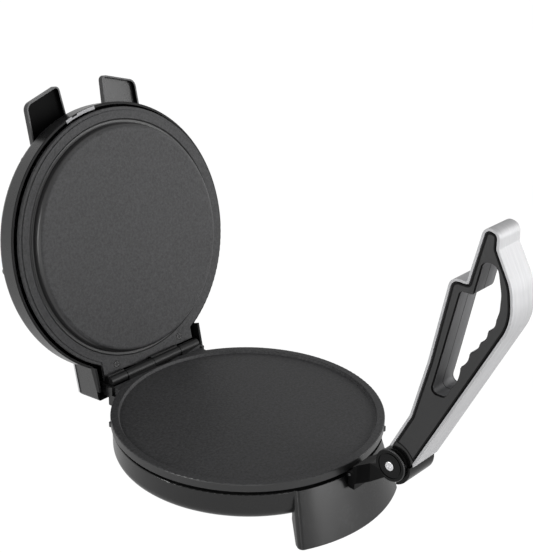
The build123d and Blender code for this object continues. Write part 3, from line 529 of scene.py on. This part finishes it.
MARK_HEIGHTS = (PANEL_TOP + 0.00002, PANEL_TOP + 0.00014)
DIAL_ARC = (-95, -8)      # all arcs run in degrees, from the shut lid's right
DIAL_ARC_RADII = (0.0277, 0.0293)
DASH_COUNT = 6
DASH_START = 2
DASH_PITCH = 15
DASH_LENGTH = 8
DASH_RADII = (0.0279, 0.0291)

# a pale strip with a dark notch on the lid's lip between the ears: both a painted reflection
REFLECTION_ARC = (-109.4, -93.5)       # on the lid's lip, between the ears
REFLECTION_RADII = (0.1372, 0.1405)
REFLECTION_HEIGHTS = (SHELL_LIP_Z - 0.00025, SHELL_LIP_Z + 0.0002)
DARK_REFLECTION_ARC = (-105.9, -103.1)
DARK_REFLECTION_RADII = (0.1390, 0.1406)
DARK_REFLECTION_HEIGHTS = (SHELL_LIP_Z - 0.0003, SHELL_LIP_Z)

# a near-black bar round each cheek, where the groove by the band lies in shade: painted shade
GROOVE_SHADE_WIDTH = 0.0014
GROOVE_SHADE_PROUD = 0.00008      # how far the painted groove shade stands above the cheek
GROOVE_SHADE_SUNK = 0.0002        # and how deep it goes


def bar(name, sections, finish, body, ring=False):
    """Thin bar through the four-cornered sections given, closed at its ends unless it is a ring."""
    points = [corner for section in sections for corner in section]
    count = len(sections)
    sides = ((0, 1), (1, 2), (2, 3), (3, 0))
    faces = []
    for step in range(count if ring else count - 1):
        near, far = 4 * step, 4 * ((step + 1) % count)
        faces += [(near + i, near + j, far + j, far + i) for i, j in sides]
    if not ring:
        last = 4 * (count - 1)
        faces += [(3, 2, 1, 0), (last, last + 1, last + 2, last + 3)]
    mesh = bpy.data.meshes.new(name)
    mesh.from_pydata(points, [], faces)
    shell = bmesh.new()
    shell.from_mesh(mesh)
    bmesh.ops.recalc_face_normals(shell, faces=shell.faces)
    shell.to_mesh(mesh)
    shell.free()
    mesh.materials.append(finish)
    made = bpy.data.objects.new(name, mesh)
    bpy.context.scene.collection.objects.link(made)
    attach(made, body)


def lid_arc(name, centre, span, radii, heights, finish):
    """Thin arc drawn on the shut lid round a centre, from the first angle to the second in degrees."""
    start, end = span
    inner, outer = radii
    low, high = heights
    steps = max(2, int(abs(end - start) / ARC_STEP))
    sections = []
    for step in range(steps + 1):
        angle = math.radians(start + (end - start) * step / steps)
        section = []
        for radius, z in ((inner, low), (outer, low), (outer, high), (inner, high)):
            x = centre[0] + radius * math.cos(angle)
            y = centre[1] + radius * math.sin(angle)
            section.append(to_open_lid(x, y, z))
        sections.append(section)
    bar(name, sections, finish, "lid")


def cheek_outline(half, side):
    """Corners round a handle cheek's flat face, in order, and the normal of the face at each."""
    mesh = frame["nodes"]["handle_cheek_" + half].data
    normals = {}
    edges = {}
    for face in mesh.polygons:
        if face.normal.x * side < FLAT_CHEEK:
            continue
        corners = [tuple(round(part, 6) for part in mesh.vertices[i].co) for i in face.vertices]
        for here, after in zip(corners, corners[1:] + corners[:1]):
            normals[here] = face.normal.copy()
            edges.setdefault(frozenset((here, after)), []).append((here, after))
    follow = dict(pairs[0] for pairs in edges.values() if len(pairs) == 1)
    loop = [min(follow, key=lambda corner: corner[2])]
    while follow[loop[-1]] != loop[0]:
        loop.append(follow[loop[-1]])
    return loop, normals


def cheek_groove_shade(half, side):
    """Painted shade along the edge of a handle cheek, just inside the silver band: a near-black bar where
    the groove lies in shade.
    """
    loop, normals = cheek_outline(half, side)
    sections = []
    for before, corner, after in zip(loop[-1:] + loop[:-1], loop, loop[1:] + loop[:1]):
        here, out = Vector(corner), normals[corner]
        ahead = (Vector(after) - here).normalized()
        behind = (here - Vector(before)).normalized()
        inward = out.cross(ahead + behind).normalized()
        across = inward * GROOVE_SHADE_WIDTH / max(0.5, inward.dot(out.cross(ahead)))
        high, low = here + out * GROOVE_SHADE_PROUD, here - out * GROOVE_SHADE_SUNK
        sections.append((high, high + across, low + across, low))
    bar("cheek_groove_shade_" + half, sections, deep_black, "handle", ring=True)


lid_arc("dial_arc", KNOB_PLACE, DIAL_ARC, DIAL_ARC_RADII, MARK_HEIGHTS, mark_white)
for number in range(DASH_COUNT):
    start = DASH_START + number * DASH_PITCH
    span = (start, start + DASH_LENGTH)
    lid_arc(f"dial_dash_{number}", KNOB_PLACE, span, DASH_RADII, MARK_HEIGHTS, mark_white)
# painted reflection on the lid's lip: a pale strip and a dark notch
lid_arc("lip_reflection_strip", (0, 0), REFLECTION_ARC, REFLECTION_RADII, REFLECTION_HEIGHTS, lip_reflection_grey)
lid_arc("lip_dark_reflection", (0, 0), DARK_REFLECTION_ARC, DARK_REFLECTION_RADII, DARK_REFLECTION_HEIGHTS, deep_black)
# painted shade in the grooves round both cheeks
cheek_groove_shade("left", -1)
cheek_groove_shade("right", 1)


# ---- floor, light and camera --------------------------------------------------------------
WHITE = (1, 1, 1, 1)
FLOOR_REACH = 6
FLOOR_GLOW = 1.06
FILL_LIGHT = 0.09
REFLECTED_LIGHT = 0.68

MODEL_MIDDLE = (0, 0, 0.12)
MODEL_SIDE = (0, 0, 0.15)
LID_SIDE = (0, 0.1, 0.15)

CAMERA_PLACE = (-0.7728, PLATE_Y - 0.7138, 0.6666)
CAMERA_AZIMUTH = math.radians(-48.16)     # round from the front
CAMERA_ELEVATION = math.radians(23.5)
CAMERA_ROLL = math.radians(0.99)
CAMERA_LENS_MM = 78.53
CAMERA_SENSOR_MM = 36


def studio_floor():
    """Almost white where seen directly, with a faint shadow, and greyer in reflections."""
    reach = FLOOR_REACH
    mesh = bpy.data.meshes.new("floor")
    corners = [(-reach, -reach, 0), (reach, -reach, 0), (reach, reach, 0), (-reach, reach, 0)]
    mesh.from_pydata(corners, [], [(0, 1, 2, 3)])
    floor = bpy.data.objects.new("floor", mesh)
    bpy.context.scene.collection.objects.link(floor)
    finish = Finish("floor_white")
    colour = finish.tint((0.78, 0.78, 0.78), (0.8, 0.8, 0.8), finish.grain(0.02))
    paper = finish.node(
        "ShaderNodeBsdfPrincipled",
        {},
        {"Base Color": colour, "Roughness": 0.9, "Specular IOR Level": 0.1},
    )
    glow = finish.node("ShaderNodeEmission", {}, {"Color": WHITE, "Strength": FLOOR_GLOW})
    direct = finish.node("ShaderNodeLightPath", output="Is Camera Ray")
    mirrored = finish.node("ShaderNodeLightPath", output="Is Glossy Ray")
    seen = finish.node("ShaderNodeMixShader", {}, {0: direct * 0.95 + mirrored * 0.62, 1: paper, 2: glow})
    finish.node("ShaderNodeOutputMaterial", {}, {"Surface": seen})
    mesh.materials.append(finish.material)


def studio_world():
    """White where seen directly or through glass, pale in reflections and dim as a fill light."""
    world = bpy.data.worlds.new("studio")
    bpy.context.scene.world = world
    sky = Nodes(world)

    def even_light(strength):
        return sky.node("ShaderNodeBackground", {}, {"Color": WHITE, "Strength": strength})

    def mixed(share, first, second):
        return sky.node("ShaderNodeMixShader", {}, {0: share, 1: first, 2: second})

    direct = sky.node("ShaderNodeLightPath", output="Is Camera Ray")
    through_glass = sky.node("ShaderNodeLightPath", output="Is Transmission Ray")
    mirrored = sky.node("ShaderNodeLightPath", output="Is Glossy Ray")
    lighting = mixed(mirrored, even_light(FILL_LIGHT), even_light(REFLECTED_LIGHT))
    seen = direct.maths("MAXIMUM", direct, through_glass)
    sky.node("ShaderNodeOutputWorld", {}, {"Surface": mixed(seen, lighting, even_light(1.0))})


def soft_box(name, place, target, size, watts):
    """Rectangular lamp that faces the target."""
    data = bpy.data.lights.new(name, "AREA")
    data.shape = "RECTANGLE"
    data.size, data.size_y = size
    data.energy = watts
    lamp = bpy.data.objects.new(name, data)
    bpy.context.scene.collection.objects.link(lamp)
    lamp.location = place
    lamp.rotation_euler = (Vector(target) - Vector(place)).to_track_quat("-Z", "Y").to_euler()


def camera():
    """Looks down at the open appliance from its front left."""
    azimuth, elevation, roll = CAMERA_AZIMUTH, CAMERA_ELEVATION, CAMERA_ROLL
    level = math.cos(elevation)
    back = Vector((math.sin(azimuth) * level, -math.cos(azimuth) * level, math.sin(elevation)))
    right = Vector((math.cos(azimuth), math.sin(azimuth), 0))
    up = back.cross(right)
    across = right * math.cos(roll) + up * math.sin(roll)
    upward = up * math.cos(roll) - right * math.sin(roll)
    data = bpy.data.cameras.new("camera")
    data.lens = CAMERA_LENS_MM
    data.sensor_width = CAMERA_SENSOR_MM
    eye = bpy.data.objects.new("camera", data)
    bpy.context.scene.collection.objects.link(eye)
    turn = Matrix((across, upward, back)).transposed().to_4x4()
    eye.matrix_world = Matrix.Translation(CAMERA_PLACE) @ turn
    bpy.context.scene.camera = eye


studio_floor()
studio_world()
soft_box("key", (0.75, -2.0, 0.6), MODEL_MIDDLE, size=(1.7, 1.4), watts=34)
soft_box("top", (0.1, -0.3, 2.0), (0, 0, 0.1), size=(1.5, 1.2), watts=3)
soft_box("right_side", (2.2, -0.6, 0.5), MODEL_SIDE, size=(0.8, 1.0), watts=14)
soft_box("left_strip", (-1.7, 0.6, 0.5), LID_SIDE, size=(0.35, 1.3), watts=13)
soft_box("left_front", (-1.6, -0.8, 0.45), LID_SIDE, size=(0.6, 1.0), watts=4.5)
camera()
bpy.context.scene.view_settings.view_transform = "Standard"
